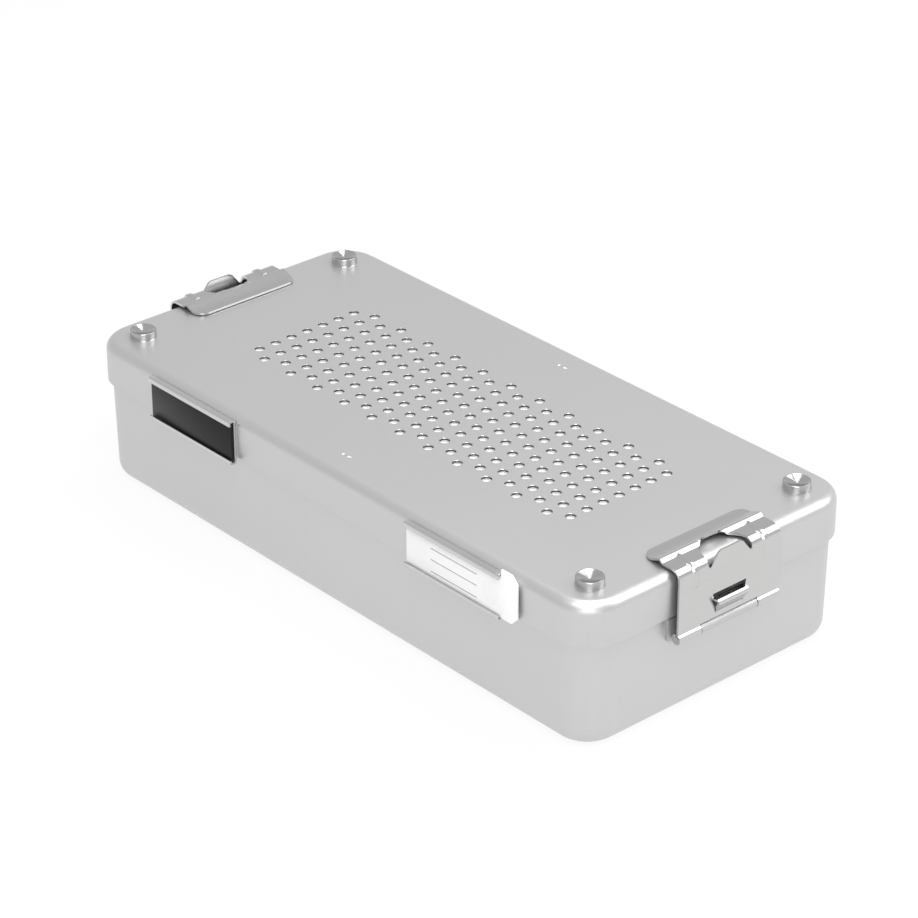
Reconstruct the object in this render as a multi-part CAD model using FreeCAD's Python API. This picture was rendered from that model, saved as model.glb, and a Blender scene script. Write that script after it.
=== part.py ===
import FreeCAD, Part
import math
import os

# Sterilization container for surgical instruments: a flat aluminium tub with a lift-off lid.
# Millimetres. Z is up, X runs along the container, and the front, with the labels, faces -Y.
# The origin is the middle of the tub's flat bottom. Right is +X and left is -X.

# Lid
LID_LENGTH = 300.0
LID_WIDTH = 140.0
LID_CORNER = 16.6
LID_TOP = 63.0
LID_SKIRT = 18.0
LID_WALL = 1.5
LID_EDGE = 4.5

# Perforation of the lid, in staggered columns
HOLE_RADIUS = 2.05
HOLE_SIDES = 6
HOLE_PITCH_X = 8.5
HOLE_PITCH_Y = 8.4
HOLE_COLUMNS = 23
HOLES_IN_LONG_COLUMN = 8

# Tub
TUB_WALL = 1.5
TUB_DRAFT = 0.8
TUB_EDGE = 6.7

# Gasket in the lid
GASKET_WIDTH = 5.0
GASKET_HEIGHT = 2.8

# Clearances
LID_PLAY = 0.3
BODY_GAP = 0.3
PIN_PLAY = 0.05
GLUE_GAP = 0.3

# Stacking studs on the lid, and the pockets in the tub's bottom that drop over them
STUD_FROM_END = 15.5
STUD_FROM_SIDE = 16.0
STUD_RADIUS = 5.5
STUD_HEIGHT = 3.4
STUD_RIM = 1.2
STUD_DISH = 1.5
POCKET_PLAY = 0.5
POCKET_DEPTH = 1.5
POCKET_SIDES = 8

# Latches, of bent, ribbed and rolled stainless sheet
SHEET = 0.9
LATCH_WIDTH = 52.6
LATCH_STANDOFF = 2.8
LATCH_REACH = 17.7
LATCH_FLANGE_GAP = 0.9
LATCH_LIP_GAP = 0.35
LATCH_LIP_FLAT = 4.8
LATCH_LIP_CORNER = 5.0
LATCH_BEND = 3.6
LATCH_FOOT = 3.1
BEAD_INBOARD = 8.2
BEAD_RAMP = 3.2
BEAD_HEIGHT = 1.3
BEAD_BEND = 1.6
CUTOUT_RADIUS = 11.3
TONGUE_RELIEF = 1.0
TONGUE_RISE = 1.5
TONGUE_TOP_WIDTH = 11.6
TONGUE_ROUND = 1.6
RIB_FROM_SIDE = 8.2
RIB_WIDTH = 2.8
RIB_HEIGHT = 0.8
RIB_RAMP = 1.0
RIB_ON_FLANGE = 4.6
RIB_ON_PLATE = 3.4

# Loop for a tamper seal, lanced out of the latch plate
LOOP_ROOT = 1.4
LOOP_RISE = 6.4
LOOP_SLOT = 2.2
LOOP_PROUD = 3.3
LOOP_TOP_WIDTH = 17.4
LOOP_ROOT_WIDTH = 14.6
LOOP_KERF = 0.2

# Hinge of each latch
HINGE_BELOW_RIM = 9.2
HINGE_OUT = 1.6
PIN_RADIUS = 1.2
KNUCKLE_LENGTH = 11.4
JOGGLE_ANGLE = 60.0
JOGGLE_ABOVE_PIN = 1.1
ROLL_TAIL = 0.3
BRACKET_BESIDE_LATCH = 1.4
BRACKET_BELOW_RIM = 1.4
BRACKET_DROP = 2.2

# Label channels on the front of the lid's skirt
HOLDER_LENGTH = 53.2
HOLDER_FROM_END = 70.6
HOLDER_BELOW_TOP = 1.4
HOLDER_BELOW_RIM = 2.8
HOLDER_SHEET = 0.8
HOLDER_DEPTH = 3.1
HOLDER_TOP_LIP = 2.3
HOLDER_BOTTOM_LIP = 1.8

# Name plate in the left channel, label card in the right one
PLATE_SETBACK = 0.5
CARD_HEAD = 8.8
CARD_HEAD_RISE = 2.0
CARD_HEAD_CHAMFER = 3.0

# Filter under the perforation, its retainer plate, and the turn clips that hold it
FILTER_THICKNESS = 0.5
FILTER_INSET = 2.0
RETAINER_FROM_END = 42.0
RETAINER_FROM_SIDE = 21.0
RETAINER_CORNER = 6.0
RETAINER_SHEET = 0.8
RETAINER_BORDER = 7.0
RETAINER_DEPTH = 2.8
SLOT_COLUMNS = 3
SLOT_ROWS = 5
SLOT_MARGIN = 18.0
SLOT_WEB_X = 12.0
SLOT_WEB_Y = 8.0
POST_BESIDE_RETAINER = 8.0
POST_RADIUS = 2.4
POST_SIDES = 6
POST_NECK = 1.5
POST_HEAD = 0.8
CLIP_THICKNESS = 1.2
CLIP_HUB_WIDTH = 7.6
CLIP_TIP_WIDTH = 5.0
CLIP_OVERLAP = 3.4

# Worked out from the sizes above
LID_END = LID_LENGTH / 2
LID_SIDE = LID_WIDTH / 2
LID_RIM = LID_TOP - LID_SKIRT
LID_CEILING = LID_TOP - LID_WALL
TUB_TOP = LID_CEILING - GASKET_HEIGHT - BODY_GAP
TUB_INSET = LID_WALL + LID_PLAY
TUB_LENGTH = LID_LENGTH - 2 * TUB_INSET
TUB_WIDTH = LID_WIDTH - 2 * TUB_INSET
TUB_CORNER = LID_CORNER - TUB_INSET
STUD_X = LID_END - STUD_FROM_END
STUD_Y = LID_SIDE - STUD_FROM_SIDE
POCKET_RADIUS = STUD_RADIUS + POCKET_PLAY
HOLE_FLAT = HOLE_RADIUS * math.sqrt(math.pi / HOLE_SIDES / math.tan(math.pi / HOLE_SIDES))
HINGE_HEIGHT = LID_RIM - HINGE_BELOW_RIM
HINGE_X = LID_END + HINGE_OUT
ROLL_RADIUS = PIN_RADIUS + PIN_PLAY + SHEET / 2
PLATE_X = LID_END + LATCH_STANDOFF - SHEET / 2
PLATE_BOTTOM = HINGE_HEIGHT + LATCH_FOOT
FLANGE_Z = LID_TOP + LATCH_FLANGE_GAP + SHEET / 2
LIP_Z = LID_TOP + LATCH_LIP_GAP + SHEET / 2
BEND_BOTTOM = FLANGE_Z - LATCH_BEND
RIB_Y = LATCH_WIDTH / 2 - RIB_FROM_SIDE
BRACKET_TOP = LID_RIM - BRACKET_BELOW_RIM
BRACKET_WIDTH = LATCH_WIDTH + 2 * BRACKET_BESIDE_LATCH
MIDDLE_KNUCKLE_LENGTH = LATCH_WIDTH - 2 * KNUCKLE_LENGTH - 2 * BODY_GAP
RETAINER_LENGTH = LID_LENGTH - 2 * RETAINER_FROM_END
RETAINER_WIDTH = LID_WIDTH - 2 * RETAINER_FROM_SIDE
SLOT_PITCH_X = (RETAINER_LENGTH - 2 * SLOT_MARGIN + SLOT_WEB_X) / SLOT_COLUMNS
SLOT_PITCH_Y = (RETAINER_WIDTH - 2 * SLOT_MARGIN + SLOT_WEB_Y) / SLOT_ROWS
POST_Y = RETAINER_WIDTH / 2 + POST_BESIDE_RETAINER
FILTER_BOTTOM = LID_CEILING - FILTER_THICKNESS
RETAINER_BORDER_BOTTOM = FILTER_BOTTOM - RETAINER_SHEET
CLIP_TOP = RETAINER_BORDER_BOTTOM - BODY_GAP
HOLDER_CENTRE = LID_END - HOLDER_FROM_END
HOLDER_TOP = LID_TOP - HOLDER_BELOW_TOP
HOLDER_BOTTOM = LID_RIM - HOLDER_BELOW_RIM
CARD_THICKNESS = HOLDER_DEPTH - 2 * HOLDER_SHEET - 2 * BODY_GAP
CARD_BACK = LID_SIDE + HOLDER_SHEET + BODY_GAP
CARD_BOTTOM = HOLDER_BOTTOM + HOLDER_SHEET + BODY_GAP
CARD_TOP = HOLDER_TOP - HOLDER_SHEET - BODY_GAP

# Flats that touch an arc: the first is cut at 45 degrees, the other two beside it
FIRST_FLAT = 2 - math.sqrt(2)
SIDE_FLATS = math.tan(math.pi / 8) - math.tan(math.pi / 16)

ORIGIN = FreeCAD.Vector(0, 0, 0)
ALONG_X = FreeCAD.Vector(1, 0, 0)
ALONG_Y = FreeCAD.Vector(0, 1, 0)
UP = FreeCAD.Vector(0, 0, 1)
SHORTEST_EDGE = 1e-4
LEVEL = 1e-3


def on_section(points):
    """Points given as (x, z), placed on the section plane y = 0."""
    return [FreeCAD.Vector(x, 0, z) for x, z in points]


def on_level(points, z):
    """Points given as (x, y), placed at one height."""
    return [FreeCAD.Vector(x, y, z) for x, y in points]


def rounded_edges(points, radii, closed):
    """Straight edges from point to point, with a tangent arc at each point that has a radius."""
    edges = []
    last = None
    first = None
    for index, (point, radius) in enumerate(zip(points, radii)):
        arc_start = point
        arc_end = point
        if radius > 0:
            back = (points[index - 1] - point).normalize()
            ahead = (points[(index + 1) % len(points)] - point).normalize()
            half_angle = back.getAngle(ahead) / 2
            reach = radius / math.tan(half_angle)
            arc_start = point + back * reach
            arc_end = point + ahead * reach
            bisector = (back + ahead).normalize()
            middle = point + bisector * (radius / math.sin(half_angle) - radius)
        if last is not None and (arc_start - last).Length > SHORTEST_EDGE:
            edges.append(Part.makeLine(last, arc_start))
        if radius > 0:
            edges.append(Part.Arc(arc_start, middle, arc_end).toShape())
        if first is None:
            first = arc_start
        last = arc_end
    if closed and (first - last).Length > SHORTEST_EDGE:
        edges.append(Part.makeLine(last, first))
    return edges


def outline(points, radii):
    return Part.Wire(rounded_edges(points, radii, True))


def rectangle(length, width, corner, z):
    """Closed wire with rounded corners, centred on the Z axis."""
    x = length / 2
    y = width / 2
    return outline(on_level([(x, y), (-x, y), (-x, -y), (x, -y)], z), [corner] * 4)


def slab(length, width, corner, bottom, top):
    return Part.Face(rectangle(length, width, corner, bottom)).extrude(UP * (top - bottom))


def flat_sided(corners, bottom, top):
    """Upright block from (x, y) corners."""
    points = on_level(corners, bottom)
    return Part.Face(Part.makePolygon(points + points[:1])).extrude(UP * (top - bottom))


def prism(sides, flat_radius, x, y, bottom, top):
    """Regular upright block, from the distance between its middle and its flats."""
    corners = []
    for side in range(sides):
        angle = (side + 0.5) * 2 * math.pi / sides
        reach = flat_radius / math.cos(math.pi / sides)
        corners.append((x + reach * math.cos(angle), y + reach * math.sin(angle)))
    return flat_sided(corners, bottom, top)


def cut_cornered(length, width, cut, bottom, top):
    """Upright block with its four corners cut off, centred on the Z axis."""
    x = length / 2
    y = width / 2
    corners = []
    for sign_x, sign_y in ((1, 1), (-1, 1), (-1, -1), (1, -1)):
        along_x_side = (sign_x * (x - cut), sign_y * y)
        along_y_side = (sign_x * x, sign_y * (y - cut))
        corners += [along_y_side, along_x_side] if sign_x == sign_y else [along_x_side, along_y_side]
    return flat_sided(corners, bottom, top)


def turned(profile):
    """Solid of revolution about the Z axis, from (radius, height) points."""
    points = on_section(profile)
    return Part.Face(Part.makePolygon(points + points[:1])).revolve(ORIGIN, UP, 360)


def level_edges(shape, z, reach=LEVEL):
    """Edges that lie flat at a height, or no further from it than the reach."""
    flat = [e for e in shape.Edges if e.BoundBox.ZLength < LEVEL]
    return [e for e in flat if abs(e.BoundBox.ZMin - z) < reach]


def flattened_edge(block, radius, z):
    """Edge at one height, cut by the single flat that touches the arc of the radius."""
    return block.makeChamfer(radius * FIRST_FLAT, level_edges(block, z))


def eased_edge(block, radius, z):
    """Edge at one height, rounded by three flats that touch the arc of the radius."""
    block = flattened_edge(block, radius, z)
    return block.makeChamfer(radius * SIDE_FLATS, level_edges(block, z, radius))


def offset_path(points, radii, offset):
    """The path moved sideways by the offset. Bends change their radius, sharp folds stay sharp."""
    sides = []
    for start, end in zip(points, points[1:]):
        sides.append((end - start).normalize().cross(ALONG_Y))
    moved = [points[0] + sides[0] * offset]
    moved_radii = [0]
    for index in range(1, len(points) - 1):
        before = sides[index - 1]
        after = sides[index]
        moved.append(points[index] + (before + after) * (offset / (1 + before.dot(after))))
        turns_to_side = (points[index + 1] - points[index]).dot(before) > 0
        growth = -offset if turns_to_side else offset
        moved_radii.append(radii[index] + growth if radii[index] > 0 else 0)
    moved.append(points[-1] + sides[-1] * offset)
    moved_radii.append(0)
    return moved, moved_radii


def bent_strip(path, radii, thickness, width, centre_y):
    """Sheet bent along a centre line of (x, z) points, as wide as given along Y."""
    points = on_section(path)
    near, near_radii = offset_path(points, radii, thickness / 2)
    far, far_radii = offset_path(points, radii, -thickness / 2)
    face = Part.Face(outline(near + far[::-1], near_radii + far_radii[::-1]))
    face.translate(ALONG_Y * (centre_y - width / 2))
    return face.extrude(ALONG_Y * width)


def moved(shape, x, y, z):
    return shape.translated(FreeCAD.Vector(x, y, z))


def save(shape, node):
    shape.exportStep("parts/" + node + ".step")


def save_at_both_ends(shape, node):
    """A piece made for the right end, and the same piece turned round for the left end."""
    save(shape, node + "_right")
    save(shape.rotated(ORIGIN, UP, 180), node + "_left")


def stud_places():
    """Centres of the four stacking studs, and of the pockets under the tub."""
    for x in (STUD_X, -STUD_X):
        for y in (-STUD_Y, STUD_Y):
            yield x, y


def hole_places():
    """Centres of the staggered perforation: every second column has one hole more."""
    for column in range(HOLE_COLUMNS):
        count = HOLES_IN_LONG_COLUMN - (column + 1) % 2
        x = (column - (HOLE_COLUMNS - 1) / 2) * HOLE_PITCH_X
        for row in range(count):
            yield x, (row - (count - 1) / 2) * HOLE_PITCH_Y


def perforation_cutter():
    """One block for each small hole, with few sides and the round hole's area."""
    blocks = []
    for x, y in hole_places():
        blocks.append(prism(HOLE_SIDES, HOLE_FLAT, x, y, LID_CEILING - LID_WALL, LID_TOP + LID_WALL))
    return Part.makeCompound(blocks)


def lid_block(inset):
    """The lid's outer form, or its hollow, before the top edge is rounded."""
    return slab(
        LID_LENGTH - 2 * inset,
        LID_WIDTH - 2 * inset,
        LID_CORNER - inset,
        LID_RIM,
        LID_TOP - inset,
    )


def make_lid_shell():
    outside = eased_edge(lid_block(0), LID_EDGE, LID_TOP)
    inside = flattened_edge(lid_block(LID_WALL), LID_EDGE - LID_WALL, LID_CEILING)
    return outside.cut(inside).cut(perforation_cutter())


def make_stacking_studs():
    """Four turned studs with a conical dish, seated on the lid."""
    profile = [
        (0, STUD_HEIGHT - STUD_DISH),
        (STUD_RADIUS - STUD_RIM, STUD_HEIGHT),
        (STUD_RADIUS, STUD_HEIGHT),
        (STUD_RADIUS, 0),
        (0, 0),
    ]
    stud = turned(profile)
    return Part.makeCompound([moved(stud, x, y, LID_TOP) for x, y in stud_places()])


def make_lid_gasket():
    """Silicone ring under the lid's ceiling, cut away to fit the lid's inner edge."""
    inset = LID_WALL + GLUE_GAP
    bottom = LID_CEILING - GASKET_HEIGHT
    length = LID_LENGTH - 2 * inset
    width = LID_WIDTH - 2 * inset
    corner = LID_CORNER - inset
    ring = slab(length, width, corner, bottom, LID_CEILING)
    ring = flattened_edge(ring, LID_EDGE - LID_WALL, LID_CEILING)
    hollow = cut_cornered(
        length - 2 * GASKET_WIDTH,
        width - 2 * GASKET_WIDTH,
        (corner - GASKET_WIDTH) * FIRST_FLAT,
        bottom,
        LID_CEILING,
    )
    return ring.cut(hollow)


def tub_wall_x(z):
    """Outside of the tub's drafted end wall at a height."""
    return TUB_LENGTH / 2 - TUB_DRAFT * (1 - z / TUB_TOP)


def tub_block(inset):
    """The tub's outer form, or its hollow: walls with draft and upright edges rounded."""
    bottom = inset
    draft = TUB_DRAFT * (1 - bottom / TUB_TOP)
    x = TUB_LENGTH / 2 - inset
    y = TUB_WIDTH / 2 - inset
    block = Part.makeWedge(
        draft - x, bottom, draft - y, -y, -x, x - draft, TUB_TOP, y - draft, y, x
    ).rotated(ORIGIN, ALONG_X, 90)
    upright = [e for e in block.Edges if e.BoundBox.ZLength > LEVEL]
    return block.makeFillet(TUB_CORNER - inset, upright)


def make_base_tub():
    tub = eased_edge(tub_block(0), TUB_EDGE, 0)
    tub = tub.cut(flattened_edge(tub_block(TUB_WALL), TUB_EDGE - TUB_WALL, TUB_WALL))
    for x, y in stud_places():
        raised_radius = POCKET_RADIUS + TUB_WALL
        raised_top = POCKET_DEPTH + TUB_WALL
        tub = tub.fuse(prism(POCKET_SIDES, raised_radius, x, y, 0, raised_top))
        tub = tub.cut(prism(POCKET_SIDES, POCKET_RADIUS, x, y, 0, POCKET_DEPTH))
    return tub.removeSplitter()


def make_latch_sheet():
    """Lip, bead, flange, bend and plate in one strip, with rounded corners at the lip."""
    lip_end = LID_END - LATCH_REACH
    bead_x = LID_END - BEAD_INBOARD
    path = [
        (lip_end, LIP_Z),
        (lip_end + LATCH_LIP_FLAT, LIP_Z),
        (bead_x, FLANGE_Z + BEAD_HEIGHT),
        (bead_x + BEAD_RAMP, FLANGE_Z),
        (PLATE_X, FLANGE_Z),
        (PLATE_X, PLATE_BOTTOM),
    ]
    radii = [0, 0, BEAD_BEND, 0, LATCH_BEND, 0]
    sheet = bent_strip(path, radii, SHEET, LATCH_WIDTH, 0)
    half = LATCH_WIDTH / 2
    far_x = PLATE_X + SHEET
    plan = outline(
        on_level([(lip_end, -half), (far_x, -half), (far_x, half), (lip_end, half)], 0),
        [LATCH_LIP_CORNER, 0, 0, LATCH_LIP_CORNER],
    )
    return sheet.common(Part.Face(plan).extrude(UP * (LID_TOP * 2)))


def make_tongue():
    """Finger tongue: the middle of the plate carried straight up through the cut-out."""
    half_foot = CUTOUT_RADIUS - TONGUE_RELIEF
    half_top = TONGUE_TOP_WIDTH / 2
    top = FLANGE_Z + SHEET / 2 + TONGUE_RISE
    x = PLATE_X - SHEET / 2
    corners = [
        FreeCAD.Vector(x, -half_foot, BEND_BOTTOM),
        FreeCAD.Vector(x, half_foot, BEND_BOTTOM),
        FreeCAD.Vector(x, half_top, top),
        FreeCAD.Vector(x, -half_top, top),
    ]
    face = Part.Face(outline(corners, [0, 0, TONGUE_ROUND, TONGUE_ROUND]))
    return face.extrude(ALONG_X * SHEET)


def add_ribs(latch):
    """Two ribs that stiffen the bend: they rise from the flange, follow it and sink into the plate."""
    flange_end = PLATE_X - LATCH_BEND - RIB_ON_FLANGE
    plate_end = BEND_BOTTOM - RIB_ON_PLATE
    path = [
        (flange_end - RIB_RAMP, FLANGE_Z),
        (flange_end, FLANGE_Z + RIB_HEIGHT),
        (PLATE_X + RIB_HEIGHT, FLANGE_Z + RIB_HEIGHT),
        (PLATE_X + RIB_HEIGHT, plate_end),
        (PLATE_X, plate_end - RIB_RAMP),
    ]
    radii = [0, 0, LATCH_BEND + RIB_HEIGHT, 0, 0]
    for y in (-RIB_Y, RIB_Y):
        latch = latch.fuse(bent_strip(path, radii, SHEET, RIB_WIDTH, y))
    return latch


def loop_prism(kerf, bottom, top):
    """Tapered outline of the lanced loop, as a block along X through the plate."""
    half_root = LOOP_ROOT_WIDTH / 2 - kerf
    half_top = LOOP_TOP_WIDTH / 2 - kerf
    start = FreeCAD.Vector(PLATE_X - SHEET, 0, 0)
    corners = [
        start + FreeCAD.Vector(0, -half_root, bottom),
        start + FreeCAD.Vector(0, half_root, bottom),
        start + FreeCAD.Vector(0, half_top, top),
        start + FreeCAD.Vector(0, -half_top, top),
    ]
    return Part.Face(outline(corners, [0] * 4)).extrude(ALONG_X * (LOOP_PROUD + 2 * SHEET))


def add_loop(latch):
    """Window in the plate, and the tongue of metal bent out of it and back at its top."""
    root = PLATE_BOTTOM + LOOP_ROOT
    crest = root + LOOP_RISE
    window = loop_prism(0, root, crest + LOOP_SLOT)
    path = [
        (PLATE_X, PLATE_BOTTOM),
        (PLATE_X, root),
        (PLATE_X + LOOP_PROUD, crest - SHEET / 2),
        (PLATE_X + SHEET / 2, crest - SHEET / 2),
    ]
    loop = bent_strip(path, [0, 0, SHEET / 2, 0], SHEET, LOOP_TOP_WIDTH, 0)
    loop = loop.common(loop_prism(LOOP_KERF, PLATE_BOTTOM, crest))
    return latch.cut(window).fuse(loop)


def latch_knuckle(side):
    """Rolled knuckle: the sheet steps out, passes under the pin and closes over it."""
    outermost = HINGE_X + ROLL_RADIUS
    innermost = HINGE_X - ROLL_RADIUS
    lowest = HINGE_HEIGHT - ROLL_RADIUS
    highest = HINGE_HEIGHT + ROLL_RADIUS
    joggle_rise = (outermost - PLATE_X) / math.tan(math.radians(JOGGLE_ANGLE))
    joggle_bottom = HINGE_HEIGHT + JOGGLE_ABOVE_PIN
    path = [
        (PLATE_X, PLATE_BOTTOM),
        (PLATE_X, joggle_bottom + joggle_rise),
        (outermost, joggle_bottom),
        (outermost, lowest),
        (innermost, lowest),
        (innermost, highest),
        (HINGE_X, highest),
    ]
    radii = [0, 0, 0, ROLL_RADIUS, ROLL_RADIUS, ROLL_RADIUS, 0]
    centre_y = side * (LATCH_WIDTH - KNUCKLE_LENGTH) / 2
    return bent_strip(path, radii, SHEET, KNUCKLE_LENGTH, centre_y)


def make_latch():
    """Right latch, closed."""
    latch = make_latch_sheet()
    finger_room = Part.makeCylinder(CUTOUT_RADIUS, LID_TOP)
    latch = latch.cut(moved(finger_room, PLATE_X - SHEET / 2, 0, BEND_BOTTOM))
    latch = latch.fuse(make_tongue())
    for side in (-1, 1):
        latch = latch.fuse(latch_knuckle(side))
    latch = add_loop(latch.removeSplitter())
    return add_ribs(latch)


def make_latch_bracket():
    """Hinge bracket: a leaf fixed to the tub's wall, rolled round the pin in the middle."""
    leaf_back = tub_wall_x(BRACKET_TOP)
    leaf_x = leaf_back + SHEET / 2
    bottom = HINGE_HEIGHT - BRACKET_DROP
    leaf = Part.makeBox(SHEET, BRACKET_WIDTH, BRACKET_TOP - bottom)
    bracket = moved(leaf, leaf_back, -BRACKET_WIDTH / 2, bottom)
    outermost = HINGE_X + ROLL_RADIUS
    innermost = HINGE_X - ROLL_RADIUS
    lowest = HINGE_HEIGHT - ROLL_RADIUS
    highest = HINGE_HEIGHT + ROLL_RADIUS
    path = [
        (leaf_x, HINGE_HEIGHT),
        (leaf_x, lowest),
        (outermost, lowest),
        (outermost, highest),
        (innermost, highest),
        (innermost, HINGE_HEIGHT - ROLL_TAIL),
    ]
    radii = [0, 0, ROLL_RADIUS, ROLL_RADIUS, ROLL_RADIUS, 0]
    knuckle_room = Part.makeBox(SHEET, MIDDLE_KNUCKLE_LENGTH, HINGE_HEIGHT - bottom)
    bracket = bracket.cut(moved(knuckle_room, leaf_back, -MIDDLE_KNUCKLE_LENGTH / 2, bottom))
    bracket = bracket.fuse(bent_strip(path, radii, SHEET, MIDDLE_KNUCKLE_LENGTH, 0))
    return bracket.removeSplitter()


def make_hinge_pin():
    pin = Part.makeCylinder(PIN_RADIUS, LATCH_WIDTH).rotated(ORIGIN, ALONG_X, 90)
    return moved(pin, HINGE_X, LATCH_WIDTH / 2, HINGE_HEIGHT)


def make_label_holder(centre_x):
    """Channel with returned lips, bent from sheet and open at both ends."""
    half_sheet = HOLDER_SHEET / 2
    back = half_sheet
    front = HOLDER_DEPTH - half_sheet
    path = [
        (front, HOLDER_TOP - HOLDER_TOP_LIP),
        (front, HOLDER_TOP - half_sheet),
        (back, HOLDER_TOP - half_sheet),
        (back, HOLDER_BOTTOM + half_sheet),
        (front, HOLDER_BOTTOM + half_sheet),
        (front, HOLDER_BOTTOM + HOLDER_BOTTOM_LIP),
    ]
    radii = [0, half_sheet, half_sheet, half_sheet, half_sheet, 0]
    channel = bent_strip(path, radii, HOLDER_SHEET, HOLDER_LENGTH, 0)
    return moved(channel.rotated(ORIGIN, UP, -90), centre_x, -LID_SIDE, 0)


def card_blank(corners):
    """Flat label from (x, z) corners, as thick as the channels let it be."""
    points = on_section(corners)
    face = Part.Face(Part.makePolygon(points + points[:1]))
    face.translate(ALONG_Y * -CARD_BACK)
    return face.extrude(ALONG_Y * -CARD_THICKNESS)


def make_name_plate():
    left = -HOLDER_CENTRE - HOLDER_LENGTH / 2 + PLATE_SETBACK
    right = -HOLDER_CENTRE + HOLDER_LENGTH / 2 - PLATE_SETBACK
    return card_blank([(left, CARD_BOTTOM), (right, CARD_BOTTOM), (right, CARD_TOP), (left, CARD_TOP)])


def make_label_card():
    """Card with a taller head that stays outside the channel."""
    left = HOLDER_CENTRE - HOLDER_LENGTH / 2 + PLATE_SETBACK
    shoulder = HOLDER_CENTRE + HOLDER_LENGTH / 2 + BODY_GAP
    right = shoulder + CARD_HEAD
    head_bottom = HOLDER_BOTTOM + HOLDER_SHEET
    head_top = HOLDER_TOP + CARD_HEAD_RISE
    corners = [
        (left, CARD_BOTTOM),
        (shoulder, CARD_BOTTOM),
        (shoulder, head_bottom),
        (right - CARD_HEAD_CHAMFER, head_bottom),
        (right, head_bottom + CARD_HEAD_CHAMFER),
        (right, head_top - CARD_HEAD_CHAMFER),
        (right - CARD_HEAD_CHAMFER, head_top),
        (shoulder, head_top),
        (shoulder, CARD_TOP),
        (left, CARD_TOP),
    ]
    return card_blank(corners)


def make_filter_sheet():
    return cut_cornered(
        RETAINER_LENGTH - 2 * FILTER_INSET,
        RETAINER_WIDTH - 2 * FILTER_INSET,
        RETAINER_CORNER - FILTER_INSET,
        FILTER_BOTTOM,
        LID_CEILING,
    )


def make_filter_retainer():
    """Shallow pan whose border presses the filter to the lid, with slots for the steam."""
    floor_bottom = FILTER_BOTTOM - RETAINER_DEPTH
    pan_length = RETAINER_LENGTH - 2 * RETAINER_BORDER
    pan_width = RETAINER_WIDTH - 2 * RETAINER_BORDER
    plate = cut_cornered(
        RETAINER_LENGTH, RETAINER_WIDTH, RETAINER_CORNER, RETAINER_BORDER_BOTTOM, FILTER_BOTTOM
    )
    pan = cut_cornered(pan_length, pan_width, RETAINER_CORNER, floor_bottom, FILTER_BOTTOM)
    hollow = cut_cornered(
        pan_length - 2 * RETAINER_SHEET,
        pan_width - 2 * RETAINER_SHEET,
        RETAINER_CORNER - FIRST_FLAT * RETAINER_SHEET,
        floor_bottom + RETAINER_SHEET,
        FILTER_BOTTOM,
    )
    plate = plate.fuse(pan).cut(hollow)
    slot = Part.makeBox(SLOT_PITCH_X - SLOT_WEB_X, SLOT_PITCH_Y - SLOT_WEB_Y, RETAINER_DEPTH)
    for column in range(SLOT_COLUMNS):
        x = SLOT_MARGIN - RETAINER_LENGTH / 2 + column * SLOT_PITCH_X
        for row in range(SLOT_ROWS):
            y = SLOT_MARGIN - RETAINER_WIDTH / 2 + row * SLOT_PITCH_Y
            plate = plate.cut(moved(slot, x, y, floor_bottom))
    return plate.removeSplitter()


def make_retainer_post():
    """Post under the lid's ceiling: a clip turns on the neck between its two collars."""
    neck_top = CLIP_TOP + BODY_GAP
    neck_bottom = CLIP_TOP - CLIP_THICKNESS - BODY_GAP
    post = moved(Part.makeCylinder(POST_NECK, neck_top - neck_bottom), 0, 0, neck_bottom)
    post = post.fuse(prism(POST_SIDES, POST_RADIUS, 0, 0, neck_top, LID_CEILING))
    return post.fuse(prism(POST_SIDES, POST_RADIUS, 0, 0, neck_bottom - POST_HEAD, neck_bottom))


def make_retainer_clip():
    """Turn clip, closed: its lever points at the retainer from a post at the origin."""
    tip_y = -POST_BESIDE_RETAINER - CLIP_OVERLAP
    bottom = CLIP_TOP - CLIP_THICKNESS
    half_hub = CLIP_HUB_WIDTH / 2
    half_tip = CLIP_TIP_WIDTH / 2
    corners = [(-half_tip, tip_y), (half_tip, tip_y), (half_hub, half_hub), (-half_hub, half_hub)]
    bore = moved(Part.makeCylinder(POST_NECK + PIN_PLAY, CLIP_THICKNESS), 0, 0, bottom)
    return flat_sided(corners, bottom, CLIP_TOP).cut(bore)


def save_lid_parts():
    save(make_lid_shell(), "lid_shell")
    save(make_lid_gasket(), "lid_gasket")
    save(make_stacking_studs(), "stacking_studs")
    save(make_label_holder(-HOLDER_CENTRE), "label_holder_left")
    save(make_label_holder(HOLDER_CENTRE), "label_holder_right")
    save(make_name_plate(), "name_plate")
    save(make_label_card(), "label_card")


def save_filter_parts():
    save(make_filter_sheet(), "filter_sheet")
    save(make_filter_retainer(), "filter_retainer")
    post = make_retainer_post()
    clip = make_retainer_clip()
    save(moved(post, 0, -POST_Y, 0), "retainer_post_front")
    save(moved(post, 0, POST_Y, 0), "retainer_post_rear")
    save(moved(clip.rotated(ORIGIN, UP, 180), 0, -POST_Y, 0), "retainer_clip_front")
    save(moved(clip, 0, POST_Y, 0), "retainer_clip_rear")


def save_base_parts():
    save(make_base_tub(), "base_tub")
    save_at_both_ends(make_latch_bracket(), "latch_bracket")
    save_at_both_ends(make_hinge_pin(), "hinge_pin")
    save_at_both_ends(make_latch(), "latch")


os.makedirs("parts", exist_ok=True)
save_base_parts()
save_lid_parts()
save_filter_parts()
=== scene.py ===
import bisect
import bmesh
import bpy
import math
import numpy as np
from mathutils import Matrix, Vector
from mathutils.geometry import delaunay_2d_cdt


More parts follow.
